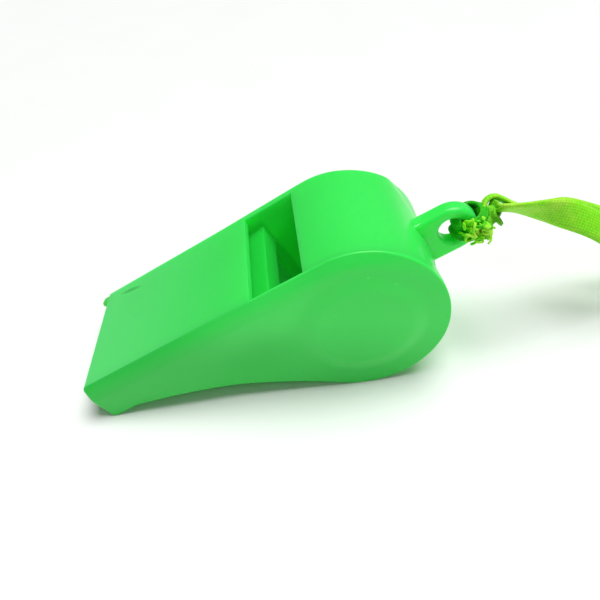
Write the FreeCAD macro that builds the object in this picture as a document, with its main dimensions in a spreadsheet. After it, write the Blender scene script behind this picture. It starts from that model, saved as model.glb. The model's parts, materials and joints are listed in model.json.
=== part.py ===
"""Training whistle on a tape lanyard, in millimetres.

The whistle is laid out in its own moulding frame: X runs from the mouth end along the flat roof to the
chamber, Y across the whistle, Z up from the roof plane. It is then tilted nose down, so that it stands on the
round chamber and on the lip under the mouth, with the middle of its footprint at the origin.
"""
import FreeCAD, Part
import math
import os
import re

from FreeCAD import Placement, Rotation, Vector
import Sketcher

os.makedirs("parts", exist_ok=True)
doc = FreeCAD.newDocument("training_whistle")

# Driving dimensions -----------------------------------------------------------------------------------------

DIMENSIONS = {
    "width": 19.0,            # across the two side walls
    "side_wall": 1.1,
    "band_wall": 1.25,        # round the chamber and along the belly
    "roof_wall": 0.9,
    "chamber_radius": 11.5,
    "chamber_x": 36.9,        # chamber axis, from the mouth end
    "mouth_height": 6.4,
    "mouth_lean": 0.55,       # how far the lower lip stands in front of the upper one
    "lip_round": 0.5,
    "belly_radius": 60.0,     # hollow curve under the mouthpiece
    "belly_angle": 42.0,      # where that curve runs into the chamber, from straight down
    "window_front": 26.85,
    "window_rear": 34.7,
    "slot_mouth": 3.9,        # height of the windway at the mouth
    "slot_exit": 1.6,         # and where it blows across the window
    "ledge_rear": 28.5,       # the windway floor runs on past the window's front edge, up to here
    "bevel_length": 1.6,      # bevel under the window's rear edge, which splits the jet of air
    "bevel_edge": 0.35,
    "relief_start": 9.0,      # the hollow under the windway floor
    "edge_round": 0.3,
    "boss_radius": 8.6,       # raised round panel on each side
    "boss_rise": 0.4,
    "boss_round": 0.35,
    "loop_x": 51.9,
    "loop_drop": 11.45,       # centre of the lanyard loop below the roof plane
    "loop_outer": 3.50,
    "loop_hole": 1.8,
    "loop_thick": 2.4,
    "loop_lean": 0.5,         # the web's two edges spread by this angle each, from the loop to the chamber
    "loop_round": 0.7,
    "pea_radius": 4.5,
    "pea_gap": 0.15,
    "tape_width": 4.0,        # the lanyard's flat woven tape
    "tape_thick": 0.8,
    "hitch_inner": 1.55,      # the turns of tape round the loop's outer end
    "hitch_outer": 2.5,
    "hitch_height": 2.4,
    "knot_length": 1.6,       # half sizes of the knot outside the loop
    "knot_height": 2.0,
    "knot_lift": 1.3,         # it rides up on the loop's end
    "tail_length": 3.2,
    "tail_radius": 0.45,
    "hank_lobe": 12.0,        # radius of each end of the folded lanyard, pinched by its tie in the middle
    "hank_half": 20.0,        # from its middle to the centre of an end
    "hank_waist": 7.0,        # half width at the tie
    "hank_height": 5.0,
    "hank_x": 88.0,           # its middle, on the surface that the whistle stands on
    "tie_length": 4.0,
    "tie_thick": 0.5,
}

sheet = doc.addObject("Spreadsheet::Sheet", "dims")
for line, (alias, size) in enumerate(DIMENSIONS.items(), start=1):
    sheet.set(f"A{line}", alias)
    sheet.set(f"B{line}", str(size))
    sheet.setAlias(f"B{line}", alias)
doc.recompute()


def bound(text):
    """An expression on the sheet: every word that names a dimension gets the sheet's name in front of it."""
    return re.sub(r"\w+", lambda word: f"<<dims>>.{word[0]}" if word[0] in DIMENSIONS else word[0], text)


def value(text):
    """The number that an expression on the sheet has now."""
    found = sheet.evalExpression(bound(text))
    return float(getattr(found, "Value", found))


# Sketches, pads and pockets ---------------------------------------------------------------------------------

def plane_of(body, role):
    """One of the body's own origin planes."""
    return next(item for item in body.Origin.OriginFeatures if item.Role == role)


def hold(sketch, kind, geometry, point, text):
    """One bound distance of a point from the sketch's origin."""
    number = sketch.addConstraint(Sketcher.Constraint(kind, -1, 1, geometry, point, value(text)))
    sketch.setExpression(f"Constraints[{number}]", bound(text))


def outline(body, name, role, path, offset=None):
    """A closed sketch. Each step of path ends at an expression pair (x, y), and is a straight line, or an arc:
    its radius, its centre's expression pair, and the way it turns, left or right."""
    sketch = body.newObject("Sketcher::SketchObject", name)
    sketch.AttachmentSupport = [(plane_of(body, role), "")]
    sketch.MapMode = "FlatFace"
    if offset:
        sketch.setExpression(".AttachmentOffset.Base.z", bound(offset))
    ends = [Vector(value(step[0]), value(step[1]), 0) for step in path]
    for number, step in enumerate(path):
        start, end = ends[number - 1], ends[number]
        if len(step) == 2:
            sketch.addGeometry(Part.LineSegment(start, end), False)
            continue
        radius, centre = step[2], Vector(value(step[3]), value(step[4]), 0)
        first = math.atan2(start.y - centre.y, start.x - centre.x)
        last = math.atan2(end.y - centre.y, end.x - centre.x)
        turn = (last - first) % math.tau if step[5] == "left" else -((first - last) % math.tau)
        half = first + turn / 2
        middle = centre + Vector(math.cos(half), math.sin(half), 0) * value(radius)
        sketch.addGeometry(Part.Arc(start, middle, end), False)
        bind = sketch.addConstraint(Sketcher.Constraint("Radius", number, value(radius)))
        sketch.setExpression(f"Constraints[{bind}]", bound(radius))
    for number, step in enumerate(path):
        # an arc is stored anticlockwise, so the vertex is found by its place
        this = 2 if sketch.getPoint(number, 2).distanceToPoint(ends[number]) < 1e-4 else 1
        after = (number + 1) % len(path)
        other = 1 if sketch.getPoint(after, 1).distanceToPoint(ends[number]) < 1e-4 else 2
        sketch.addConstraint(Sketcher.Constraint("Coincident", number, this, after, other))
        hold(sketch, "DistanceX", number, this, step[0])
        hold(sketch, "DistanceY", number, this, step[1])
    doc.recompute()
    return sketch


def disc(body, name, role, x, y, radius, offset=None):
    """A sketch of one circle."""
    sketch = body.newObject("Sketcher::SketchObject", name)
    sketch.AttachmentSupport = [(plane_of(body, role), "")]
    sketch.MapMode = "FlatFace"
    if offset:
        sketch.setExpression(".AttachmentOffset.Base.z", bound(offset))
    circle = Part.Circle(Vector(value(x), value(y), 0), Vector(0, 0, 1), value(radius))
    sketch.addGeometry(circle, False)
    bind = sketch.addConstraint(Sketcher.Constraint("Radius", 0, value(radius)))
    sketch.setExpression(f"Constraints[{bind}]", bound(radius))
    hold(sketch, "DistanceX", 0, 3, x)
    hold(sketch, "DistanceY", 0, 3, y)
    doc.recompute()
    return sketch


def pad(body, sketch, length, reverse=False):
    """A pad on the sketch, bound to a length, along the sketch's normal or against it."""
    feature = body.newObject("PartDesign::Pad", f"{sketch.Name}_pad")
    feature.Profile = sketch
    feature.setExpression("Length", bound(length))
    feature.Reversed = reverse
    doc.recompute()
    return feature


def pocket(body, sketch, length, reverse=False):
    """A pocket under the sketch, which has to take some of the body away."""
    before = body.Shape.Volume
    feature = body.newObject("PartDesign::Pocket", f"{sketch.Name}_pocket")
    feature.Profile = sketch
    feature.setExpression("Length", bound(length))
    feature.Reversed = reverse
    doc.recompute()
    if body.Shape.Volume > before - 0.1:
        raise RuntimeError(f"{feature.Name} cut nothing")
    return feature


def rounded(body, name, radius, chosen):
    """A fillet on the edges of the body's tip that chosen(edge) picks."""
    tip = body.Tip
    names = [f"Edge{i}" for i, edge in enumerate(tip.Shape.Edges, start=1) if chosen(edge)]
    feature = body.newObject("PartDesign::Fillet", name)
    feature.Base = (tip, names)
    feature.setExpression("Radius", bound(radius))
    doc.recompute()
    return feature


def new_body(label):
    """An empty body with the label of its file."""
    body = doc.addObject("PartDesign::Body", label)
    body.Label = label
    return body


def lies_at(edge, y):
    """Whether the whole edge lies in the plane at y."""
    box = edge.BoundBox
    return abs(box.YMin - y) < 1e-4 and abs(box.YMax - y) < 1e-4


# The side outline, which both mouldings share ---------------------------------------------------------------

BELLY_REACH = "(chamber_radius + belly_radius)"
BELLY_X = f"(chamber_x - {BELLY_REACH} * sin(belly_angle))"
BELLY_Z = f"(-chamber_radius - {BELLY_REACH} * cos(belly_angle))"
TANGENT_X = "chamber_x - chamber_radius * sin(belly_angle)"
TANGENT_Z = "-chamber_radius - chamber_radius * cos(belly_angle)"
LIP_REAR_X = f"{BELLY_X} + sqrt(belly_radius ^ 2 - ({BELLY_Z} + mouth_height) ^ 2)"

SIDE_OUTLINE = [
    ("0", "-lip_round"),
    ("lip_round", "0", "lip_round", "lip_round", "-lip_round", "right"),
    ("chamber_x", "0"),
    (TANGENT_X, TANGENT_Z, "chamber_radius", "chamber_x", "-chamber_radius", "right"),
    (LIP_REAR_X, "-mouth_height", "belly_radius", BELLY_X, BELLY_Z, "left"),
    ("lip_round - mouth_lean", "-mouth_height"),
    ("-mouth_lean", "lip_round - mouth_height",
     "lip_round", "lip_round - mouth_lean", "lip_round - mouth_height", "right"),
]


# The main moulding ------------------------------------------------------------------------------------------

NEAR = "width / 2 - side_wall"              # the joint face, on the near side
INNER = "width - 2 * side_wall"
BORE = "(chamber_radius - band_wall)"
CHAMBER_FRONT = f"chamber_x - {BORE}"
# where the ledge meets the bore
LEDGE_FOOT = f"-chamber_radius + sqrt({BORE} ^ 2 - (chamber_x - ledge_rear) ^ 2)"
RELIEF_REACH = "(belly_radius + band_wall)"  # the hollow's arc, one wall above the belly

# where the hollow's arc meets the chamber's wall: the angle at the chamber axis, from the line of centres
FORK_SIDES = f"({BELLY_REACH} ^ 2 + chamber_radius ^ 2 - {RELIEF_REACH} ^ 2)"
FORK = f"acos({FORK_SIDES} / (2 * {BELLY_REACH} * chamber_radius))"
FORK_X = f"chamber_x - chamber_radius * sin(belly_angle * 1 deg + {FORK})"
FORK_Z = f"-chamber_radius - chamber_radius * cos(belly_angle * 1 deg + {FORK})"


def floor_z(x):
    """Height of the windway floor at x, an expression: straight from the mouth to the window."""
    return f"-roof_wall - slot_mouth + (slot_mouth - slot_exit) * ({x}) / window_front"


def relief_z(x):
    """Height of the top of the belly wall at x, an expression."""
    return f"{BELLY_Z} + sqrt({RELIEF_REACH} ^ 2 - ({x} - {BELLY_X}) ^ 2)"


def make_body():
    """Mouthpiece, chamber band, far side wall and lanyard loop, moulded in one and open on the near side."""
    body = new_body("whistle_body")
    # the XZ plane's normal points along -Y, so a raised sketch lies towards the near side
    root = "chamber_x + chamber_radius - band_wall / 2"
    meets_x, rise = "(loop_x - loop_outer * sin(loop_lean))", "loop_outer * cos(loop_lean)"
    spread = f"{rise} + ({meets_x} - ({root})) * tan(loop_lean)"
    lug = outline(body, "lug", "XZ_Plane", [
        (root, f"-loop_drop - ({spread})"),
        (meets_x, f"-loop_drop - {rise}"),
        (meets_x, f"-loop_drop + {rise}", "loop_outer", "loop_x", "-loop_drop", "left"),
        (root, f"-loop_drop + {spread}"),
    ], "loop_thick / 2")
    pad(body, lug, "loop_thick", reverse=True)
    pocket(body, disc(body, "lug_hole", "XZ_Plane", "loop_x", "-loop_drop", "loop_hole", "loop_thick / 2"),
           "loop_thick")
    faces = [value("loop_thick / 2"), -value("loop_thick / 2")]
    rounded(body, "lug_edges", "loop_round",
            lambda edge: any(lies_at(edge, y) for y in faces) and edge.BoundBox.XMax > value(root) + 0.01)

    pad(body, outline(body, "shell", "XZ_Plane", SIDE_OUTLINE, NEAR), "width - side_wall", reverse=True)
    rounded(body, "far_edge", "edge_round", lambda edge: lies_at(edge, value("width / 2")))

    panel = disc(body, "far_panel", "XZ_Plane", "chamber_x", "-chamber_radius", "boss_radius", "-width / 2")
    pad(body, panel, "boss_rise", reverse=True)
    rounded(body, "panel_edge", "boss_round", lambda edge: lies_at(edge, value("width / 2 + boss_rise")))

    pocket(body, outline(body, "chamber", "XZ_Plane", [
        ("ledge_rear", LEDGE_FOOT),
        ("chamber_x", f"-chamber_radius + {BORE}", BORE, "chamber_x", "-chamber_radius", "left"),
        ("ledge_rear", "-roof_wall"),
    ], NEAR), INNER)
    pocket(body, outline(body, "windway", "XZ_Plane", [
        ("-mouth_lean - 1", floor_z("-mouth_lean - 1")),
        ("ledge_rear + 1", floor_z("ledge_rear + 1")),
        ("ledge_rear + 1", "-roof_wall"),
        ("-mouth_lean - 1", "-roof_wall"),
    ], NEAR), INNER)
    front_wall = f"({CHAMBER_FRONT} - band_wall)"
    pocket(body, outline(body, "relief", "XZ_Plane", [
        ("relief_start", relief_z("relief_start")),
        (FORK_X, FORK_Z, RELIEF_REACH, BELLY_X, BELLY_Z, "right"),
        (front_wall, "-chamber_radius", "chamber_radius", "chamber_x", "-chamber_radius", "right"),
        (front_wall, floor_z(front_wall) + " - band_wall"),
        ("relief_start", floor_z("relief_start") + " - band_wall"),
    ], NEAR), INNER)
    under_roof = "-roof_wall - 0.5"  # a little way into the windway, so that no skin is left over it
    window = outline(body, "window", "XZ_Plane", [
        ("window_front", under_roof),
        ("window_rear + bevel_length", under_roof),
        ("window_rear", "-bevel_edge"),
        ("window_rear", "1"),
        ("window_front", "1"),
    ], NEAR)
    pocket(body, window, INNER)
    return body


def make_cover():
    """The near side wall with its raised round panel, glued on once the pea is in."""
    body = new_body("side_cover")
    # padded thick and rounded, then cut back to the joint face
    pad(body, outline(body, "cover", "XZ_Plane", SIDE_OUTLINE, "width / 2"), "width / 2", reverse=True)
    rounded(body, "near_edge", "edge_round", lambda edge: lies_at(edge, -value("width / 2")))
    behind = outline(body, "behind", "XZ_Plane", [
        ("-2 * mouth_lean", "-3 * chamber_radius"),
        ("chamber_x + 2 * chamber_radius", "-3 * chamber_radius"),
        ("chamber_x + 2 * chamber_radius", "chamber_radius"),
        ("-2 * mouth_lean", "chamber_radius"),
    ])
    pocket(body, behind, NEAR, reverse=True)
    panel = disc(body, "near_panel", "XZ_Plane", "chamber_x", "-chamber_radius", "boss_radius", "width / 2")
    pad(body, panel, "boss_rise")
    rounded(body, "panel_rim", "boss_round", lambda edge: lies_at(edge, -value("width / 2 + boss_rise")))
    return body


def make_pea():
    """The ball that rattles in the chamber, at the lowest point of its orbit once the whistle is tilted."""
    ball = doc.addObject("Part::Sphere", "pea")
    ball.Label = "pea"
    ball.setExpression("Radius", bound("pea_radius"))
    return ball


# Standing pose ----------------------------------------------------------------------------------------------

def standing():
    """The tilt that sets the chamber and the lip under the mouth on one floor, as the placement of both."""
    lip = Vector(value("lip_round - mouth_lean"), 0, value("lip_round - mouth_height"))
    axis = Vector(value("chamber_x"), 0, -value("chamber_radius"))
    across = axis - lip
    drop = value("chamber_radius - lip_round")
    # both circles touch the floor when the line of centres climbs by the difference of their radii
    tilt = math.asin(drop / across.Length) - math.atan2(across.z, across.x)
    turn = Rotation(Vector(0, 1, 0), -math.degrees(tilt))
    loop = turn.multVec(Vector(value("loop_x"), 0, -value("loop_drop")))
    high_lip = turn.multVec(Vector(value("lip_round"), 0, -value("lip_round")))
    low_lip = turn.multVec(lip)
    rear = loop.x + value("loop_outer")
    front = min(high_lip.x, low_lip.x) - value("lip_round")
    floor = low_lip.z - value("lip_round")
    return Placement(Vector(-(front + rear) / 2, 0, -floor), turn), tilt


# The lanyard ------------------------------------------------------------------------------------------------

def rounded_route(points):
    """A wire of straight runs joined by tangent arcs, each as large as its runs allow, and the arcs' radii."""
    edges, radii, last = [], [], points[0]
    for before, corner, after in zip(points, points[1:], points[2:]):
        back, ahead = before - corner, after - corner
        half = math.pi / 2 - back.getAngle(ahead) / 2
        reach = 0.45 * min(back.Length, ahead.Length)
        radii.append(reach / math.tan(half))
        start = corner + back.normalize() * reach
        end = corner + ahead.normalize() * reach
        inward = (start + end) / 2 - corner
        depth = radii[-1] / math.cos(half) - radii[-1]
        middle = corner + inward.normalize() * depth
        edges.append(Part.LineSegment(last, start).toShape())
        edges.append(Part.Arc(start, middle, end).toShape())
        last = end
    edges.append(Part.LineSegment(last, points[-1]).toShape())
    return Part.Wire(edges), radii


def strand(label, points):
    """One hanging length of tape, as a plain tube of the tape's own section area."""
    radius = math.sqrt(value("tape_width * tape_thick") / math.pi)
    path, radii = rounded_route([Vector(*point) for point in points])
    ring = Part.Circle(Vector(*points[0]), path.Edges[0].tangentAt(path.Edges[0].FirstParameter), radius)
    shape = path.makePipeShell([Part.Wire([ring.toShape()])], True, False)
    expected = math.pi * radius ** 2 * path.Length
    print(f"{label}: length {path.Length:.1f}, radii {[round(r, 1) for r in radii]},"
          f" volume {shape.Volume / expected:.3f} of section times length")
    return feature(label, shape)


def feature(label, shape):
    """A Part::Feature that holds one ready shape."""
    item = doc.addObject("Part::Feature", label)
    item.Label = label
    item.Shape = shape
    return item


def make_hitch(loop_end):
    """The turns of tape round the outer end of the loop, as a collar round its bar."""
    height, outer = value("hitch_height"), value("hitch_outer")
    low = loop_end - Vector(0, 0, height / 2)
    collar = Part.makeCylinder(outer, height, low)
    rims = [edge for edge in collar.Edges if edge.Curve.TypeId == "Part::GeomCircle"]
    collar = collar.makeFillet(height / 4, rims)
    return feature("lanyard_hitch", collar.cut(Part.makeCylinder(value("hitch_inner"), height, low)))


def make_knot(loop_end):
    """The knot, an egg that sits on the outside of the hitch."""
    round_by = value("knot_height")
    ball = Part.makeSphere(round_by)
    squash = FreeCAD.Matrix()
    squash.scale(value("knot_length") / round_by, 1, 1)
    egg = ball.transformGeometry(squash)
    egg.translate(loop_end + Vector(value("hitch_outer + knot_length / 3"), 0, value("knot_lift")))
    core = Part.makeCylinder(value("hitch_outer"), 4 * round_by, loop_end - Vector(0, 0, 2 * round_by))
    return feature("lanyard_knot", egg.cut(core))


def make_tails(loop_end):
    """The two cut ends of the tape, which hang from the near side of the knot, back along the loop."""
    radius, length = value("tail_radius"), value("tail_length")
    top = loop_end + Vector(value("hitch_outer"), -value("knot_height") - radius, value("knot_lift"))
    tails = []
    for drop in (0.5, 1.6):
        tails.append(Part.makeCylinder(radius, length, top - Vector(0, 0, drop), Vector(-1, -0.3, -0.45)))
    return feature("lanyard_tails", Part.makeCompound(tails))


def make_hank():
    """The rest of the lanyard, folded into a flat hank: two round ends that narrow to the tie's width."""
    lobe, half, waist = value("hank_lobe"), value("hank_half"), value("hank_waist")
    hollow = (half ** 2 + waist ** 2 - lobe ** 2) / (2 * (lobe - waist))
    lean = math.atan2(half, waist + hollow)
    touch = Vector(half - lobe * math.sin(lean), lobe * math.cos(lean), 0)
    far, near = Vector(half + lobe, 0, 0), Vector(-half - lobe, 0, 0)

    def mirror(point, x, y):
        return Vector(point.x * x, point.y * y, 0)

    outline_edges = [
        Part.Arc(touch, far, mirror(touch, 1, -1)),
        Part.Arc(mirror(touch, 1, -1), Vector(0, -waist, 0), mirror(touch, -1, -1)),
        Part.Arc(mirror(touch, -1, -1), near, mirror(touch, -1, 1)),
        Part.Arc(mirror(touch, -1, 1), Vector(0, waist, 0), touch),
    ]
    face = Part.Face(Part.Wire([edge.toShape() for edge in outline_edges]))
    bundle = face.extrude(Vector(0, 0, value("hank_height")))
    thick, length = value("tie_thick"), value("tie_length")
    wide, high = 2 * waist, value("hank_height")
    outer = Part.makeBox(length, wide + 2 * thick, high + thick, Vector(-length / 2, -waist - thick, 0))
    inner = Part.makeBox(length, wide - 2 * thick, high - 2 * thick, Vector(-length / 2, -waist + thick, thick))
    band = outer.cut(inner)
    middle = Vector(value("hank_x"), 0, 0)
    bundle = bundle.cut(band)
    bundle.translate(middle)
    band.translate(middle)
    return [feature("lanyard_hank", bundle), feature("hank_tie", band)]


# The strands' routes, from the knot to the hank. The outgoing one ends low on the hank's near side, and the
# returning one comes off its top.
STRAND_OUT = [
    (29.9, -0.75, 20.6), (35.6, -0.9, 20.1), (44.0, -2.0, 16.3), (51.0, -3.7, 9.3), (58.4, -5.2, 3.3),
]
STRAND_BACK = [
    (29.9, 0.9, 19.4), (36.8, 1.0, 18.3), (45.5, 1.6, 14.5), (53.0, 2.2, 9.8), (61.0, 2.8, 6.4),
    (69.5, 3.4, 5.0),
]

# Assembly ---------------------------------------------------------------------------------------------------

stand, tilt = standing()
body, cover, pea = make_body(), make_cover(), make_pea()
axis = stand.multVec(Vector(value("chamber_x"), 0, -value("chamber_radius")))
orbit = value(f"{BORE} - pea_radius - pea_gap")
body.Placement = cover.Placement = stand
pea.Placement = Placement(axis - Vector(0, 0, orbit), Rotation())

loop_centre = stand.multVec(Vector(value("loop_x"), 0, -value("loop_drop")))
loop_end = loop_centre + Vector(value("(loop_outer + loop_hole) / 2"), 0, 0)
nodes = [body, cover, pea, make_hitch(loop_end), make_knot(loop_end), make_tails(loop_end)]
nodes += [strand("lanyard_strand_out", STRAND_OUT), strand("lanyard_strand_back", STRAND_BACK)]
nodes += make_hank()
doc.recompute()

for item in doc.Objects:
    if {"Invalid", "Error"} & set(item.State):
        raise RuntimeError(f"{item.Name} could not be made: {item.State}")
for node in nodes:
    if node.Shape.isNull() or not node.Shape.isValid():
        raise RuntimeError(f"{node.Label} has no valid shape")
for node in nodes:
    node.Shape.exportStep(f"parts/{node.Label}.step")

print(f"tilt {math.degrees(tilt):.2f} deg, chamber axis {axis}, pea orbit {orbit:.2f},"
      f" loop centre {loop_centre}")
for node in nodes:
    box = node.Shape.BoundBox
    print(f"{node.Label}: {len(node.Shape.Solids)} solid, {node.Shape.Volume:.1f} mm3,"
          f" x {box.XMin:.2f} to {box.XMax:.2f}, y {box.YMin:.2f} to {box.YMax:.2f},"
          f" z {box.ZMin:.2f} to {box.ZMax:.2f}")
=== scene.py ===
"""The looks of a moulded training whistle on a flat woven lanyard, in metres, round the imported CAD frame."""

import json
import math
import random

import bmesh
import bpy
from mathutils import Euler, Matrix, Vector, noise


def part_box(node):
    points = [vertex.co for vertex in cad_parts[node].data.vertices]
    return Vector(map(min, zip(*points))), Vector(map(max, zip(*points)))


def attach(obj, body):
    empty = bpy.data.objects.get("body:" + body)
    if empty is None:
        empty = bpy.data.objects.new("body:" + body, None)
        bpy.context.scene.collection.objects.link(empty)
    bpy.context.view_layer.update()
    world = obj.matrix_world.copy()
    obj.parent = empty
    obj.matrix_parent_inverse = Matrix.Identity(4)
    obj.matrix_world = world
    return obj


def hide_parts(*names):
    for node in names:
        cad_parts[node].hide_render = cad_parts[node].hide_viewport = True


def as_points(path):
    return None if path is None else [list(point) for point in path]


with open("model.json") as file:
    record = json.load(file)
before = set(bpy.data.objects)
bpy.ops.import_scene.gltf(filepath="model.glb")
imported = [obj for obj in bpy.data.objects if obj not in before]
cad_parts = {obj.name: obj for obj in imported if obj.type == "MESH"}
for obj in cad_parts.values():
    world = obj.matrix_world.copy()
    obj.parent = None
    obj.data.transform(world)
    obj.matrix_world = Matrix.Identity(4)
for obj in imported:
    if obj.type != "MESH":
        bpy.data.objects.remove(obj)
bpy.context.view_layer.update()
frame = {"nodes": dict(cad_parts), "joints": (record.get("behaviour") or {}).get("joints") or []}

MM = 0.001
scene = bpy.context.scene
chamber = Vector(next(j["pos_m"] for j in frame["joints"] if j["name"] == "pea_orbit"))
TILT = math.radians(25.74)    # the roof's slope as the whistle stands on its lip and its round chamber
ALONG, UP = math.cos(TILT), math.sin(TILT)

# Colours, linear --------------------------------------------------------------------------------------------

GREEN = (0.045, 0.87, 0.105)
GREEN_DEEP = (0.02, 0.68, 0.06)
# painted shade: a deeper green for the plastic low down and on the ledge inside the window
GREEN_PAINTED_SHADE = (0.010, 0.50, 0.045)
GREEN_WORN = (0.22, 0.95, 0.30)
# painted reflection: a paler green for the mouthpiece's roof towards the mouth
GREEN_PAINTED_REFLECTION = (0.115, 0.78, 0.20)
GATE_GREEN = (0.17, 0.72, 0.06)
LIME = (0.28, 0.93, 0.02)
LIME_PALE = (0.50, 0.97, 0.07)
OLIVE = (0.12, 0.48, 0.005)
# painted shade: the lanyard's own tape, darker where its turns bunch through the loop's hole and in the frayed
# ends
SHADED_TAPE = (0.02, 0.48, 0.01)
SHADED_TAPE_PALE = (0.06, 0.64, 0.015)
SHADED_TAPE_DARK = (0.008, 0.24, 0.004)
# painted shade: the same tape, darker in the tight knot
KNOT_PAINTED_SHADE = (0.13, 0.52, 0.02)
CORK = (0.50, 0.28, 0.12)
CORK_DARK = (0.16, 0.075, 0.03)
TIE_GREY = (0.55, 0.56, 0.55)
FLOOR_WHITE = (0.90, 0.91, 0.90)

# Materials --------------------------------------------------------------------------------------------------


class Paint:
    """A procedural material in the making: its node tree, with one call for each kind of node it needs."""

    def __init__(self, name, **sockets):
        self.material = bpy.data.materials.new(name)
        self.material.use_nodes = True
        self.tree = self.material.node_tree
        self.shader = self.tree.nodes["Principled BSDF"]
        for socket, value in sockets.items():
            self.shader.inputs[socket.replace("_", " ")].default_value = value
        self.place = self.tree.nodes.new("ShaderNodeTexCoord")

    def add(self, kind, links=None, **settings):
        """A node with its settings, and its inputs set to numbers or linked to outputs."""
        made = self.tree.nodes.new(kind)
        for key, value in settings.items():
            setattr(made, key, value)
        for key, value in (links or {}).items():
            if isinstance(value, bpy.types.NodeSocket):
                self.tree.links.new(value, made.inputs[key])
            else:
                made.inputs[key].default_value = value
        return made

    def noise(self, scale, detail=3.0, distortion=0.0, vector=None):
        """Cloudy noise from 0 to 1 with that many waves to the metre."""
        links = {"Scale": scale, "Detail": detail, "Distortion": distortion}
        links["Vector"] = vector or self.place.outputs["Object"]
        return self.add("ShaderNodeTexNoise", links).outputs["Fac"]

    def seen_from(self, origin, turn, size=(1, 1, 1)):
        """The place of a point, in a frame with its own origin, turn and size."""
        links = {"Vector": self.place.outputs["Object"], "Location": origin, "Rotation": turn, "Scale": size}
        return self.add("ShaderNodeMapping", links, vector_type="TEXTURE").outputs["Vector"]

    def axes(self, vector=None):
        """The X, Y and Z of a place."""
        return self.add("ShaderNodeSeparateXYZ", {"Vector": vector or self.place.outputs["Object"]}).outputs

    def bands(self, direction, scale):
        """Even waves from 0 to 1 along u or v of the map on the piece."""
        links = {"Vector": self.place.outputs["UV"], "Scale": scale, "Distortion": 0.0}
        return self.add("ShaderNodeTexWave", links, bands_direction=direction).outputs["Fac"]

    def between(self, fac, low, high, out_low=0.0, out_high=1.0):
        """fac from low to high, spread over out_low to out_high and held there."""
        links = {"Value": fac, "From Min": low, "From Max": high, "To Min": out_low, "To Max": out_high}
        return self.add("ShaderNodeMapRange", links, interpolation_type="SMOOTHSTEP").outputs["Result"]

    def math(self, operation, first, second):
        """A sum or product of two, each a socket or a number."""
        return self.add("ShaderNodeMath", {0: first, 1: second}, operation=operation).outputs[0]

    def mix(self, fac, first, second):
        """A colour between two, each a socket or three numbers."""
        made = self.add("ShaderNodeMix", data_type="RGBA")
        for slot, value in ((0, fac), (6, first), (7, second)):
            if isinstance(value, bpy.types.NodeSocket):
                self.tree.links.new(value, made.inputs[slot])
            else:
                made.inputs[slot].default_value = value if slot == 0 else (*value, 1.0)
        return made.outputs[2]

    def edges(self, low, high):
        """1 along outer edges and 0 elsewhere."""
        return self.between(self.add("ShaderNodeNewGeometry").outputs["Pointiness"], low, high)

    def drive(self, socket, output):
        """Link an output to one of the shader's sockets."""
        self.tree.links.new(output, self.shader.inputs[socket])

    def bump(self, height, strength, distance):
        """Relief from a height, on top of any that is there."""
        links = {"Height": height, "Strength": strength, "Distance": distance}
        if self.shader.inputs["Normal"].is_linked:
            links["Normal"] = self.shader.inputs["Normal"].links[0].from_socket
        self.drive("Normal", self.add("ShaderNodeBump", links).outputs["Normal"])


def shade(colour, part):
    """The colour at that part of its brightness."""
    return tuple(part * channel for channel in colour)


def plastic(name, light, deep, mark=None, soak=0.75, reach=4.0):
    """Glossy fluorescent plastic that light soaks into, with a faint flow pattern, rubbed edges and a faint
    painted glow in its deep colour.

    mark is the middle of a short darker streak on the body, which then gets a painted reflection that makes it
    paler towards its mouth and painted shade that makes it deeper on the ledge in its window. Without one the
    plastic gets painted shade that makes it deeper low down. soak is how much of the light goes in, and reach
    how far, in mm."""
    # the emission in the deep colour is a faint painted glow that lifts the plastic's shade, though it is no
    # lamp
    paint = Paint(name, IOR=1.46, Subsurface_Weight=soak, Subsurface_Scale=reach * MM, Emission_Strength=0.05)
    paint.shader.inputs["Subsurface Radius"].default_value = (0.45, 1.0, 0.55)
    paint.shader.inputs["Emission Color"].default_value = (*deep, 1.0)
    flow = paint.noise(38, detail=1, distortion=0.6)
    colour = paint.mix(paint.between(flow, 0.30, 0.75, 0.0, 0.35), light, deep)
    rubbed = paint.math("MULTIPLY", paint.edges(0.56, 0.66), paint.between(paint.noise(450), 0.45, 0.65))
    colour = paint.mix(paint.math("MULTIPLY", rubbed, 0.30), colour, GREEN_WORN)
    place = paint.axes()
    if mark is None:
        # painted shade: the plastic is deeper green low down, where less light falls
        height = paint.math("ADD", place["Z"], paint.math("MULTIPLY", place["X"], 0.25))
        colour = paint.mix(paint.between(height, 4 * MM, 17 * MM, 0.65, 0.0), colour, GREEN_PAINTED_SHADE)
    else:
        # painted reflection of the sky: the mouthpiece's roof is paler towards the mouth
        colour = paint.mix(paint.between(place["X"], -28 * MM, -2 * MM, 0.75, 0.0), colour, GREEN_PAINTED_REFLECTION)
        level = paint.axes(paint.seen_from(chamber, (0, -TILT, 0)))
        # painted shade: deeper green on the ledge under the roof, inside the window
        under_roof = paint.between(level["Z"], 9.3 * MM, 10.8 * MM, 0.75, 0.0)
        ledge = paint.math("MULTIPLY", under_roof, paint.between(level["X"], -8.6 * MM, -7.6 * MM, 1.0, 0.0))
        colour = paint.mix(ledge, colour, GREEN_PAINTED_SHADE)
        # a short darker streak on the roof near the mouth, on the far side
        dark_streak = paint.seen_from(mark, (0, -TILT, math.radians(-12)), (2.6 * MM, 0.55 * MM, 0.6 * MM))
        ball = paint.add("ShaderNodeTexGradient", {"Vector": dark_streak}, gradient_type="SPHERICAL").outputs["Fac"]
        colour = paint.mix(paint.between(ball, 0.0, 0.8, 0.0, 0.6), colour, shade(deep, 0.45))
    paint.drive("Base Color", colour)
    haze = paint.noise(90, detail=2)
    paint.drive("Roughness", paint.between(haze, 0.2, 0.8, 0.285, 0.335))
    return paint.material


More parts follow.
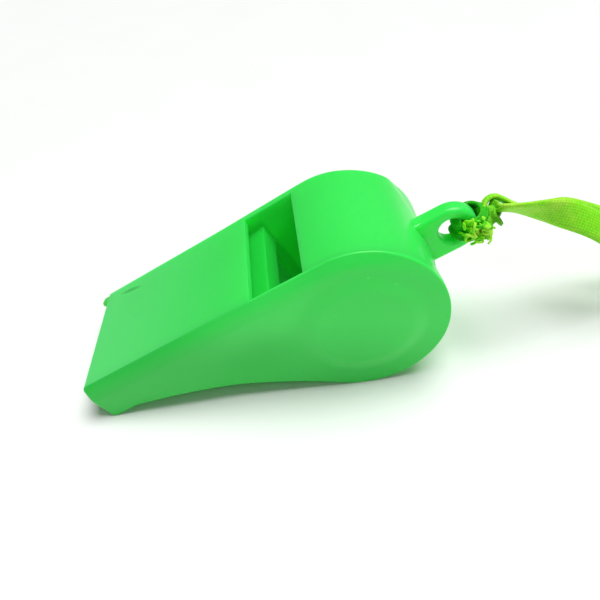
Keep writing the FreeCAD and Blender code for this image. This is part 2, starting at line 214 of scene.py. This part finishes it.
def cork(name):
    """Pressed cork: pale grains with dark seams and pores."""
    paint = Paint(name, Roughness=0.85)
    cells = paint.add("ShaderNodeTexVoronoi", {"Vector": paint.place.outputs["Object"], "Scale": 1100.0},
                      feature="DISTANCE_TO_EDGE").outputs["Distance"]
    seams = paint.between(cells, 0.02, 0.12)
    tone = paint.mix(paint.between(paint.noise(700), 0.35, 0.65), CORK, shade(CORK, 0.75))
    paint.drive("Base Color", paint.mix(seams, CORK_DARK, tone))
    paint.bump(seams, 0.5, 0.12 * MM)
    return paint.material


def woven(name, light, pale, dark):
    """Plain-woven tape, from the map that tape_mesh lays on it: u along it and v across, in metres."""
    paint = Paint(name, Subsurface_Weight=0.3, Subsurface_Scale=0.5 * MM, Specular_IOR_Level=0.2)
    weft, warp = (paint.bands(direction, math.pi / (10 * pitch))
                  for direction, pitch in (("X", 0.42 * MM), ("Y", 0.36 * MM)))
    weave = paint.math("MULTIPLY", weft, warp)
    links = {"Vector": paint.place.outputs["UV"], "Scale": (1.0, 0.25, 1.0)}
    fibres = paint.noise(5200, detail=2, vector=paint.add("ShaderNodeMapping", links).outputs["Vector"])
    tone = paint.mix(paint.between(paint.noise(260), 0.35, 0.70), light, pale)
    tone = paint.mix(paint.between(weave, 0.0, 0.30, 0.30, 0.0), tone, dark)
    paint.drive("Base Color", paint.mix(paint.between(fibres, 0.35, 0.60, 0.25, 0.0), tone, dark))
    paint.drive("Roughness", paint.between(fibres, 0.3, 0.7, 0.45, 0.70))
    paint.bump(weave, 0.5, 0.08 * MM)
    paint.bump(fibres, 0.2, 0.03 * MM)
    return paint.material


def fibre(name, light, pale, dark):
    """Loose polyester threads: bright, with a soft sheen, each a little darker here and there."""
    paint = Paint(name, Subsurface_Weight=0.3, Subsurface_Scale=0.4 * MM, Specular_IOR_Level=0.2,
                  Roughness=0.5)
    tone = paint.mix(paint.between(paint.noise(420), 0.40, 0.60), light, pale)
    paint.drive("Base Color", paint.mix(paint.between(paint.noise(900), 0.55, 0.75, 0.0, 0.5), tone, dark))
    paint.bump(paint.noise(6000, detail=1), 0.3, 0.03 * MM)
    return paint.material


def strap_plastic(name):
    """A soft, slightly dull grey strap with moulded ribs along it."""
    paint = Paint(name)
    ribs = paint.bands("Y", 180.0)
    haze = paint.noise(500, detail=4)
    paint.drive("Base Color", paint.mix(haze, TIE_GREY, shade(TIE_GREY, 0.85)))
    paint.drive("Roughness", paint.between(haze, 0.3, 0.7, 0.40, 0.55))
    paint.bump(ribs, 0.4, 0.05 * MM)
    return paint.material


def painted_floor():
    """A plain white surface, a little mottled."""
    paint = Paint("pale_floor")
    grain = paint.noise(60, detail=5)
    paint.drive("Base Color", paint.mix(grain, FLOOR_WHITE, shade(FLOOR_WHITE, 0.985)))
    paint.drive("Roughness", paint.between(grain, 0.2, 0.8, 0.55, 0.65))
    return paint.material


# Shapes -----------------------------------------------------------------------------------------------------


def baked(name, mesh):
    """The mesh that a bmesh holds, which is freed."""
    made = bpy.data.meshes.new(name)
    mesh.to_mesh(made)
    mesh.free()
    return made


def shown(name, mesh, material, body="whistle"):
    """A new smooth piece from a mesh, with its material, riding on a body."""
    mesh.materials.append(material)
    mesh.shade_smooth()
    piece = bpy.data.objects.new(name, mesh)
    scene.collection.objects.link(piece)
    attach(piece, body)
    return piece


def smooth_step(low, high, value):
    """0 on low's side and 1 on high's, eased in between."""
    t = min(1.0, max(0.0, (value - low) / (high - low)))
    return t * t * (3 - 2 * t)


def ahead_at(places, index):
    """Which way the line runs at one of its points."""
    return (places[min(index + 1, len(places) - 1)] - places[max(index - 1, 0)]).normalized()


def smooth_line(points):
    """The points along the NURBS curve that has these as its control points."""
    curve = bpy.data.curves.new("route", "CURVE")
    curve.dimensions = "3D"
    curve.resolution_u = 12
    spline = curve.splines.new("NURBS")
    spline.points.add(len(points) - 1)
    for control, place in zip(spline.points, points):
        control.co = (*place, 1)
    spline.order_u = 3
    spline.use_endpoint_u = True
    holder = bpy.data.objects.new("route", curve)
    scene.collection.objects.link(holder)
    bpy.context.view_layer.update()
    line = bpy.data.meshes.new_from_object(holder.evaluated_get(bpy.context.evaluated_depsgraph_get()))
    places = [vertex.co.copy() for vertex in line.vertices]
    bpy.data.objects.remove(holder)
    bpy.data.curves.remove(curve)
    bpy.data.meshes.remove(line)
    return places


def distances(places):
    """How far along the line each of its points is."""
    along = [0.0]
    for here, there in zip(places, places[1:]):
        along.append(along[-1] + (there - here).length)
    return along


def eased(keys, at):
    """A vector at a distance along a line, eased between keys of (distance, vector)."""
    if at <= keys[0][0]:
        return Vector(keys[0][1])
    for (start, first), (end, second) in zip(keys, keys[1:]):
        if at <= end:
            return Vector(first).lerp(Vector(second), smooth_step(start, end, at))
    return Vector(keys[-1][1])


def tape_mesh(name, places, across, width, thick, camber=0.06, pleats=0.0):
    """A flat tape along a line. across says, place by place, which way its width lies, and how wide it is."""
    section, sides = [], 10
    for face in (1, -1):
        for step in range(sides + (face < 0)):
            v = face * (1 - 2 * step / sides)
            edge = math.sqrt(max(0.0, 1 - abs(v) ** 8))
            crest = camber * (1 - v * v) * width / thick + pleats * math.sin(2 * math.pi * v)
            section.append((v / 2, face * edge / 2 + crest))
    section.pop()
    along = distances(places)
    mesh = bmesh.new()
    layer = mesh.loops.layers.uv.new("tape")
    rings = []
    for index, (place, side) in enumerate(zip(places, across)):
        ahead = ahead_at(places, index)
        wide = width * side.length
        side = (side - ahead * side.dot(ahead)).normalized()
        out = ahead.cross(side)
        rings.append([mesh.verts.new(place + side * (v * wide) + out * (h * thick)) for v, h in section])
    count = len(section)
    for index, (ring, following) in enumerate(zip(rings, rings[1:])):
        for k in range(count):
            n = (k + 1) % count
            face = mesh.faces.new((ring[k], following[k], following[n], ring[n]))
            maps = ((along[index], k), (along[index + 1], k), (along[index + 1], n), (along[index], n))
            for loop, (u, point) in zip(face.loops, maps):
                loop[layer].uv = (u, section[point][0] * width)
    mesh.faces.new(rings[0])
    mesh.faces.new(reversed(rings[-1]))
    bmesh.ops.recalc_face_normals(mesh, faces=mesh.faces)
    return baked(name, mesh)


def thread_mesh(name, paths, thick):
    """Round threads along lines, all in one mesh, each drawn out thin at its loose end."""
    mesh = bmesh.new()
    corners = 6
    for places in paths:
        rings = []
        for index, place in enumerate(places):
            ahead = ahead_at(places, index)
            side = ahead.orthogonal().normalized() if index == 0 else side - ahead * side.dot(ahead)
            side.normalize()
            radius = thick / 2 * (1.0 - 0.45 * (index / len(places)) ** 3)
            turns = [math.tau * k / corners for k in range(corners)]
            outward = [math.cos(a) * side + math.sin(a) * ahead.cross(side) for a in turns]
            rings.append([mesh.verts.new(place + radius * out) for out in outward])
        for ring, following in zip(rings, rings[1:]):
            for k in range(corners):
                n = (k + 1) % corners
                mesh.faces.new((ring[k], following[k], following[n], ring[n]))
        mesh.faces.new(rings[0])
        mesh.faces.new(reversed(rings[-1]))
    bmesh.ops.recalc_face_normals(mesh, faces=mesh.faces)
    return baked(name, mesh)


# The lanyard ------------------------------------------------------------------------------------------------

TAPE_WIDTH, TAPE_THICK = 4.0 * MM, 0.5 * MM
# the routes of the two strands, in metres, each from the knot to the hank
STRAND_OUT = [
    (0.0299, -0.00075, 0.0206), (0.0356, -0.0009, 0.0201), (0.0440, -0.0020, 0.0163),
    (0.0510, -0.0037, 0.0093), (0.0584, -0.0052, 0.0033),
]
STRAND_BACK = [
    (0.0299, 0.0009, 0.0194), (0.0368, 0.0010, 0.0183), (0.0455, 0.0016, 0.0145),
    (0.0530, 0.0022, 0.0098), (0.0610, 0.0028, 0.0064), (0.0695, 0.0034, 0.0050),
]
# where the tape climbs out of the middle of the hank
RISE = [(0.0800, 0.0008, 0.0024), (0.0750, 0.0016, 0.0042)]
# which way the tape's width lies at some points of the route
ACROSS = [
    (STRAND_OUT[0], (0.0, -0.72, 0.69)),
    (STRAND_OUT[2], (0.2, 0.69, 0.73)),
    (STRAND_OUT[4], (0.0, 0.0, 1.0)),
    (RISE[0], (0.0, 0.0, 1.0)),
    (STRAND_BACK[4], (0.1, 0.9, 0.5)),
    (STRAND_BACK[2], (0.2, 0.69, 0.73)),
    (STRAND_BACK[0], (0.0, -0.72, 0.69)),
]
TIE_WALL, TIE_LIFT = 1.0 * MM, 0.5 * MM
# from one turn of the hank to the next, in its lobes and at its waist
HANK_SPACING, WAIST_SPACING = 1.56 * MM, 1.04 * MM
# the route's points in a half turn: one at the waist, then these round the lobe
LOBE_ANGLES = [math.radians(angle) for angle in (-105, -70, -35, 0, 35, 70, 105)]
HALF_TURN = 1 + len(LOBE_ANGLES)
# counted from the waist of the first turn, which the outgoing strand joins part of the way round
FIRST_STATION, LAST_STATION = 13, 104


def hank_route():
    """The turns of the hank, from its outside in: a waist in the tie's grip and a lobe in each half turn."""
    low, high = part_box("lanyard_hank")
    tie_low, tie_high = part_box("hank_tie")
    middle = (low + high) / 2
    lobe = (high.y - low.y) / 2 - TAPE_THICK
    reach = (high.x - low.x) / 2 - (high.y - low.y) / 2
    waist = (tie_high.y - tie_low.y) / 2 - TIE_WALL - TAPE_THICK
    height = TAPE_WIDTH / 2 + 0.05 * MM
    route = []
    for station in range(FIRST_STATION, LAST_STATION + 1):
        done = (station - FIRST_STATION) / (2 * HALF_TURN)
        side = 1 if station // HALF_TURN % 2 == 0 else -1
        part = station % HALF_TURN
        if part == 0:
            x, y, z = 0, done * WAIST_SPACING - waist, height + TIE_LIFT
        else:
            angle, radius = LOBE_ANGLES[part - 1], lobe - done * HANK_SPACING
            x, y, z = reach + radius * math.cos(angle), radius * math.sin(angle), height
        route.append((middle.x + side * x, middle.y + side * y, z))
    return route


def nearest(places, along, point):
    """How far along the line it comes nearest to a point."""
    return min(zip(along, places), key=lambda pair: (pair[1] - Vector(point)).length)[0]


def lanyard_tape(material):
    """The whole tape in one piece: out from the knot, round the hank and back."""
    route = STRAND_OUT + hank_route() + RISE + STRAND_BACK[::-1]
    places = smooth_line(route)
    along = distances(places)
    keys = [(nearest(places, along, point), across) for point, across in ACROSS]
    across = [eased(keys, at).normalized() for at in along]
    mesh = tape_mesh("lanyard_tape", places, across, TAPE_WIDTH, TAPE_THICK)
    tape = shown("lanyard_tape", mesh, material)
    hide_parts("lanyard_strand_out", "lanyard_strand_back", "lanyard_hank")
    return tape, places


# the bar of the loop that the tape is hitched round, and the middle of the knot beside it
BAR = (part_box("lanyard_hitch")[0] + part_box("lanyard_hitch")[1]) / 2
KNOT = (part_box("lanyard_knot")[0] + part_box("lanyard_knot")[1]) / 2
RING_RADIUS = 2.65        # of the loop's ring along the middle of its section, in mm


def hitch(material):
    """Bunched turns of the tape round the outer part of the loop's ring, through its hole."""
    middle = BAR - Vector((RING_RADIUS, 0, 0)) * MM
    steps, steps_a_turn = 132, 48
    places, across = [], []
    for step in range(steps + 1):
        turn = math.tau * (step / steps_a_turn - 0.1)
        inside = (1 - math.cos(turn)) / 2
        round_ring = math.radians(-20 + 52 * step / steps)
        out = Vector((math.cos(round_ring), 0, math.sin(round_ring)))
        along = Vector((-math.sin(round_ring), 0, math.cos(round_ring)))
        radius = 1.58 + 0.24 * step / steps + 0.12 * math.sin(2 * turn + 1)
        reach, swing = RING_RADIUS + radius * math.cos(turn), 1.02 * radius * math.sin(turn)
        places.append(middle + (out * reach + Vector((0, swing, 0))) * MM)
        across.append((along + 0.55 * inside * out).normalized() * (0.80 + 0.20 * inside))
    mesh = tape_mesh("tape_hitch", places, across, 2.9 * MM, TAPE_THICK, camber=0.10, pleats=0.5)
    piece = shown("tape_hitch", mesh, material)
    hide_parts("lanyard_hitch")
    return piece


def knot(material):
    """A pulled-tight overhand knot in the tape: a trefoil that lies flat against itself."""
    middle = KNOT + Vector((-0.9, 0, -0.5)) * MM
    steps, size, depth = 144, 0.48 * MM, 0.45 * MM
    places, across = [], []
    for step in range(steps + 1):
        t = math.tau * step / steps
        y, z = math.cos(t) - 2 * math.cos(2 * t), math.sin(t) + 2 * math.sin(2 * t)
        places.append(middle + Vector((depth * math.sin(3 * t), size * y, size * z)))
        across.append(Vector((1.0, 0.1, 0.25 * math.sin(2 * t))).normalized())
    mesh = tape_mesh("tape_knot", places, across, 2.3 * MM, TAPE_THICK, camber=0.12, pleats=0.4)
    piece = shown("tape_knot", mesh, material)
    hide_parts("lanyard_knot")
    return piece


def bight(material):
    """The slack that stands up in an arch where one strand leaves the knot."""
    from_knot = [(-1.5, 0.6, 0.0), (-1.1, 1.6, 0.6), (0.1, 2.0, 1.1),
                 (1.4, 1.8, 0.5), (2.5, 1.2, -0.1), (3.6, 0.6, -0.4)]
    places = smooth_line([KNOT + Vector(place) * MM for place in from_knot])
    across = [Vector((0.1, 0.80, -0.55)).normalized() for place in places]
    mesh = tape_mesh("tape_bight", places, across, 0.55 * TAPE_WIDTH, TAPE_THICK, camber=0.08, pleats=0.3)
    piece = shown("tape_bight", mesh, material)
    return piece


def anywhere(low, high):
    """A random point of a box."""
    return Vector([random.uniform(least, most) for least, most in zip(low, high)])


def loose_thread():
    """The line of one springy thread that has come out of a cut end: a short helix that opens out."""
    steps = 25
    start = BAR + anywhere((-1.1, -2.7, -1.0), (1.8, -1.8, 2.5)) * MM
    heading = anywhere((-0.7, -0.4, -1.0), (0.5, 0.0, 0.1))
    heading = heading.normalized() * random.uniform(0.4, 1.5) * MM
    one = heading.orthogonal().normalized()
    two = heading.normalized().cross(one)
    size, turns = random.uniform(0.40, 0.72) * MM, random.uniform(0.8, 1.3)
    begin = random.uniform(0, math.tau)
    places = []
    for step in range(steps + 1):
        t = step / steps
        angle = begin + math.tau * turns * t
        swing = size * min(1.0, 2.5 * t)
        places.append(start + heading * t + swing * (math.cos(angle) * one + math.sin(angle) * two))
    return places


def frayed_ends(material, dark):
    """The two cut ends of the tape, come undone into springy threads, some pale and some in painted shade."""
    random.seed(5)
    made = []
    for name, count, thick, colour in (("frayed_threads", 23, 0.42 * MM, material),
                                       ("frayed_threads_in_painted_shade", 8, 0.38 * MM, dark)):
        paths = [loose_thread() for number in range(count)]
        piece = shown(name, thread_mesh(name, paths, thick), colour)
        made.append(piece)
    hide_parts("lanyard_tails")
    return made


def tie_strap(material):
    """A flat strap round the waist of the hank, its end lapped over itself on top."""
    low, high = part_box("hank_tie")
    middle = (low + high) / 2
    half_y = (high.y - low.y) / 2 - 0.5 * TIE_WALL
    half_z = (high.z - low.z) / 2 - 0.5 * TIE_WALL
    steps, flatness = 90, 2 / 7
    under, over = -6, 102    # its ends, one under the other
    places = []
    for step in range(under, over + 1):
        turn = math.tau * (step / steps + 0.25)
        y = half_y * math.copysign(abs(math.cos(turn)) ** flatness, math.cos(turn))
        z = half_z * math.copysign(abs(math.sin(turn)) ** flatness, math.sin(turn))
        lap = 0.25 * TIE_WALL if step > steps + under else -0.25 * TIE_WALL if step < -under else 0.0
        places.append(middle + Vector((0, y, z + lap * (math.sin(turn) > 0.7))))
    across = [Vector((1, 0, 0)) for place in places]
    mesh = tape_mesh("tie_strap", places, across, high.x - low.x - 0.1 * MM, 0.5 * TIE_WALL, camber=0.0)
    piece = shown("tie_strap", mesh, material)
    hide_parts("hank_tie")
    return piece


tape_lime = woven("tape_lime", LIME, LIME_PALE, OLIVE)
# the lime tape in painted shade, for its turns through the loop's hole
tape_painted_shade = woven("tape_painted_shade", SHADED_TAPE, SHADED_TAPE_PALE, SHADED_TAPE_DARK)
tape, tape_line = lanyard_tape(tape_lime)
# the knot's tape gets painted shade, a darker copy of the lime tape
hitched = [hitch(tape_painted_shade), knot(woven("tape_knot_painted_shade", KNOT_PAINTED_SHADE, LIME, OLIVE)), bight(tape_lime)]
thread_lime = fibre("thread_lime", LIME, LIME_PALE, OLIVE)
# some of the loose threads get the tape's colours in painted shade
hitched += frayed_ends(thread_lime, fibre("thread_painted_shade", SHADED_TAPE_PALE, LIME, SHADED_TAPE_DARK))
tie_plastic = strap_plastic("tie_plastic")
strap = tie_strap(tie_plastic)
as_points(tape_line)

# The whistle ------------------------------------------------------------------------------------------------

CHAMBER_RADIUS = 11.5
INNER_SIDE = -8.4         # where the two mouldings are glued
COVER_MIDDLE = Vector((-3.0, 4.5))    # straight lines from here to the cover's outline stay on the cover
SHARP_ANGLE = math.radians(32)


def laid(u, w, y):
    """The place of a point that is u along the whistle from the chamber's axis and w up, square to the roof,
    in mm."""
    return chamber + Vector((u * ALONG - w * UP, y, u * UP + w * ALONG)) * MM


def flat(place):
    """The u and w of a place, as laid takes them."""
    x, z = (place - chamber).x / MM, (place - chamber).z / MM
    return x * ALONG + z * UP, z * ALONG - x * UP


def rim(node, y):
    """The outline of the flat face of a node at this y, in order, as (u, w) in mm."""
    shape = bmesh.new()
    shape.from_mesh(node.data)
    shape.transform(node.matrix_world)
    bmesh.ops.remove_doubles(shape, verts=shape.verts, dist=0.002 * MM)
    level = {face for face in shape.faces if all(abs(vert.co.y - y * MM) < 0.01 * MM for vert in face.verts)}
    beside = {}
    for edge in shape.edges:
        if sum(face in level for face in edge.link_faces) == 1:
            for one, other in (edge.verts, reversed(edge.verts)):
                beside.setdefault(one, []).append(other)
    walk = [next(iter(beside))]
    while len(walk) < len(beside):
        walk.append(next(vert for vert in beside[walk[-1]] if vert not in walk[-2:]))
    points = [Vector(flat(vert.co)) for vert in walk]
    shape.free()
    area = sum(a.x * b.y - a.y * b.x for a, b in zip(points, points[1:] + points[:1]))
    return points if area > 0 else points[::-1]


def split(points, spacing):
    """The closed outline with its long pieces split up, and its new points put on the chamber's round."""
    made = []
    for here, there in zip(points, points[1:] + points[:1]):
        pieces = math.ceil((there - here).length / spacing)
        for piece in range(pieces):
            point = here.lerp(there, piece / pieces)
            if abs(point.length - CHAMBER_RADIUS) < 0.03:
                point *= CHAMBER_RADIUS / point.length
            made.append(point)
    return made


def mouth_skew(u, w, y):
    """How far the mouth's end stands off square along the whistle, in mm: most at its upper edge."""
    return (0.10 + 0.11 * y) * smooth_step(-29.0, -36.4, u) * min(1.0, max(0.0, (w - 5.1) / 6.4))


def cover_depth(u, w):
    """How far out the cover's skin stands from the whistle's middle plane, in mm."""
    r = math.hypot(u, w)
    depth = 9.5 + 0.15 * smooth_step(-14, -6, u)
    # rolled over along the roof and, less and less, down the round of the chamber
    below = CHAMBER_RADIUS - (w if u < 0 else r)
    angle = math.degrees(math.atan2(w, u))
    topness = 1.0 if u < 0 else 0.25 + 0.75 * smooth_step(-10, 70, angle)
    roll = 1 - math.sin(math.pi / 2 * min(1.0, max(0.0, below) / 2.6))
    depth -= topness * smooth_step(-9, -2, w) * roll
    # the round boss, and the hollow between it and the mouthpiece
    depth += 0.58 * (1 - smooth_step(6.0, 8.9, r))
    depth -= 0.85 * math.exp(-((u + 14.0) / 6.8) ** 2 - ((w - 3.6) / 3.9) ** 2)
    return depth


def inward_of(outline):
    """Which way is inward at each point of a closed outline that runs anticlockwise."""
    made = []
    for k, point in enumerate(outline):
        following = outline[(k + 1) % len(outline)]
        ahead = (following - point).normalized() + (point - outline[k - 1]).normalized()
        made.append(Vector((-ahead.y, ahead.x)).normalized())
    return made


def cover_skin(material):
    """The side cover as moulded: rolled over along the roof, with a soft boss and a hollow before it."""
    outline = split(rim(frame["nodes"]["side_cover"], INNER_SIDE), 0.35)
    inward = inward_of(outline)
    rounds = [0.10 if cover_depth(*point) < 8.8 else 0.20 for point in outline]
    inner = [point + way * size for point, way, size in zip(outline, inward, rounds)]
    count, edge_steps, face_steps = len(outline), 3, 60
    mesh = bmesh.new()

    def ring_at(points, depths):
        return [mesh.verts.new(laid(u + mouth_skew(u, w, -depth), w, -depth))
                for (u, w), depth in zip(points, depths)]

    rings = [ring_at(outline, [-INNER_SIDE] * count)]
    for step in range(edge_steps + 1):
        turn = math.pi / 2 * step / edge_steps
        points = [point + way * size * (1 - math.cos(turn))
                  for point, way, size in zip(outline, inward, rounds)]
        depths = [max(cover_depth(*point) - size * (1 - math.sin(turn)), -INNER_SIDE + 0.02)
                  for point, size in zip(points, rounds)]
        rings.append(ring_at(points, depths))
    for step in range(1, face_steps):
        points = [point.lerp(COVER_MIDDLE, (step / face_steps) ** 1.5) for point in inner]
        rings.append(ring_at(points, [cover_depth(*point) for point in points]))
    for ring, following in zip(rings, rings[1:]):
        for k in range(count):
            n = (k + 1) % count
            mesh.faces.new((ring[k], ring[n], following[n], following[k]))
    mesh.faces.new(reversed(rings[0]))
    middle = mesh.verts.new(laid(*COVER_MIDDLE, -cover_depth(*COVER_MIDDLE)))
    for k in range(count):
        mesh.faces.new((rings[-1][k], rings[-1][(k + 1) % count], middle))
    bmesh.ops.recalc_face_normals(mesh, faces=mesh.faces)
    piece = shown("cover_skin", baked("cover_skin", mesh), material)
    piece.data.set_sharp_from_angle(angle=SHARP_ANGLE)
    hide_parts("side_cover")
    return piece


def body_sink(y, turn):
    """How far the moulding has sunk below its round, in mm, at an angle in degrees round the chamber."""
    waist = 0.75 * math.exp(-((y + 4.0) / 2.2) ** 2 - ((turn + 3.0) / 14.0) ** 2)
    # a flatter facet on the far side of the loop, behind a soft crease that runs aslant
    past = (29.0 - 2.5 * (9.5 - y)) - turn
    facet = min(0.32, 0.035 * past) if y > 1.5 and 0 < past and turn > -30 else 0.0
    facet *= smooth_step(1.5, 3.5, y) * smooth_step(-30, -5, turn)
    return waist + facet


def body_skin(material):
    """The body as moulded: sunk a little where the plastic is thick, and swollen along its far rim."""
    node = frame["nodes"]["whistle_body"]
    mesh = bmesh.new()
    mesh.from_mesh(node.data)
    mesh.transform(node.matrix_world)
    bmesh.ops.remove_doubles(mesh, verts=mesh.verts, dist=0.002 * MM)
    # cut across at even steps between its sides, and round the chamber every few degrees
    cuts = [((0, y * MM, 0), (0, 1, 0)) for y in (-8.3, *(-7.6 + 0.75 * k for k in range(23)), 9.19)]
    for degrees in range(-40, 112, 4):
        angle = math.radians(degrees) + TILT
        cuts.append((chamber, (-math.sin(angle), 0, math.cos(angle))))
    for place, normal in cuts:
        parts = mesh.verts[:] + mesh.edges[:] + mesh.faces[:]
        bmesh.ops.bisect_plane(mesh, geom=parts, dist=0.001 * MM, plane_co=place, plane_no=normal)
    for vert in mesh.verts:
        y = vert.co.y / MM
        u, w = flat(vert.co)
        r, turn = math.hypot(u, w), math.degrees(math.atan2(w, u))
        if abs(y) < 9.55 and 11.1 < r < 11.6 and -45 < turn < 112:
            outward = (vert.co - Vector((chamber.x, vert.co.y, chamber.z))).normalized()
            vert.co -= outward * body_sink(y, turn) * MM
        along_rim = math.exp(-((u + 1.0) / 6.5) ** 2)
        vert.co.y += 0.35 * along_rim * smooth_step(7.5, 9.3, y) * smooth_step(9.0, 11.0, w) * MM
        vert.co += Vector((ALONG, 0, UP)) * mouth_skew(u, w, y) * MM
    piece = shown("body_skin", baked("body_skin", mesh), material)
    piece.data.set_sharp_from_angle(angle=SHARP_ANGLE)
    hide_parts("whistle_body")
    return piece


def gate_mark(material):
    """The stub of plastic that was left where the whistle was snapped off its runner."""
    mesh = bmesh.new()
    bmesh.ops.create_icosphere(mesh, subdivisions=4, radius=1.0)
    for vert in mesh.verts:
        x, y, z = vert.co
        lump = 1 + 0.25 * noise.noise(vert.co * 1.7)
        vert.co = laid(-36.20 + 0.75 * x * lump, 10.95 + 0.58 * z * lump, 8.5 + 0.95 * y)
    piece = shown("gate_mark", baked("gate_mark", mesh), material)
    return piece


def cork_pea(material):
    """The pea, turned from pressed cork: a ball with its grain broken out here and there."""
    low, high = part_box("pea")
    middle, radius = (low + high) / 2, (high.x - low.x) / 2
    mesh = bmesh.new()
    bmesh.ops.create_icosphere(mesh, subdivisions=6, radius=1.0)
    for vert in mesh.verts:
        rough = noise.fractal(vert.co * 3.0, 1.0, 2.0, 3)
        pit = smooth_step(0.30, 0.55, noise.noise(vert.co * 5.0 + Vector((7, 1, 3))))
        vert.co = middle + vert.co * radius * (0.985 + 0.010 * max(-1.0, min(1.0, rough)) - 0.035 * pit)
    piece = shown("cork_pea", baked("cork_pea", mesh), material, body="pea")
    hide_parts("pea")
    return piece


cover_plastic = plastic("neon_green_cover", GREEN, GREEN_DEEP, soak=0.25, reach=1.0)
body_plastic = plastic("neon_green_body", GREEN, GREEN_DEEP, mark=laid(-30.9, CHAMBER_RADIUS, 7.3))
pea_cork = cork("cork")
# the CAD nodes that the skins stand for get their materials too
for node, material in (("whistle_body", cover_plastic), ("side_cover", cover_plastic), ("pea", pea_cork),
                       ("lanyard_hitch", tape_painted_shade), ("lanyard_knot", tape_painted_shade),
                       ("lanyard_tails", tape_lime), ("lanyard_strand_out", tape_lime),
                       ("lanyard_strand_back", tape_lime), ("lanyard_hank", tape_lime),
                       ("hank_tie", tie_plastic)):
    shape = frame["nodes"][node].data
    shape.materials.clear()
    shape.materials.append(material)
body_skin(body_plastic)
cover_skin(cover_plastic)
gate_mark(plastic("gate_plastic", GATE_GREEN, GREEN_DEEP))
cork_pea(pea_cork)

# The floor, the lights and the camera -----------------------------------------------------------------------

CAMERA_AT = (0.00265, -0.06686, 0.07192)
CAMERA_TURN = (46.216, 5.642, -5.530)    # in degrees
FOCAL_LENGTH = 38.576
SKY_STRENGTH = 0.18


def make_floor():
    """The white surface that the whistle stands on."""
    bpy.ops.mesh.primitive_grid_add(x_subdivisions=8, y_subdivisions=8, size=3.0)
    floor = bpy.context.object
    floor.name = "floor"
    floor.data.materials.append(painted_floor())


def light(name, place, target, size, power):
    """A soft square light that looks at a point."""
    lamp = bpy.data.lights.new(name, "AREA")
    lamp.size = size
    lamp.energy = power
    holder = bpy.data.objects.new(name, lamp)
    holder.location = place
    holder.rotation_euler = (Vector(target) - Vector(place)).to_track_quat("-Z", "Y").to_euler()
    scene.collection.objects.link(holder)


def sun(name, direction, spread, strength):
    """A soft light from one side of the sky, spread over that many degrees."""
    lamp = bpy.data.lights.new(name, "SUN")
    lamp.angle = math.radians(spread)
    lamp.energy = strength
    holder = bpy.data.objects.new(name, lamp)
    holder.rotation_euler = Vector(direction).to_track_quat("Z", "Y").to_euler()
    scene.collection.objects.link(holder)


def make_camera():
    """The view from the near side, above the chamber, with the mouth at the lower left."""
    lens = bpy.data.cameras.new("camera")
    lens.lens, lens.sensor_width = FOCAL_LENGTH, 36.0
    lens.clip_start, lens.clip_end = 2 * MM, 10.0
    camera = bpy.data.objects.new("camera", lens)
    camera.location = CAMERA_AT
    camera.rotation_euler = Euler([math.radians(angle) for angle in CAMERA_TURN])
    scene.collection.objects.link(camera)
    scene.camera = camera


make_floor()
sun("key", (0.22, 0.08, 1.0), 40, 3.05)
light("fill", (0.16, -0.30, 0.42), chamber, 0.10, 0.12)
world = bpy.data.worlds.new("studio")
world.use_nodes = True
sky = world.node_tree.nodes["Background"]
sky.inputs["Color"].default_value = (1.0, 1.0, 1.0, 1.0)
sky.inputs["Strength"].default_value = SKY_STRENGTH
scene.world = world
scene.view_settings.view_transform = "Standard"
make_camera()
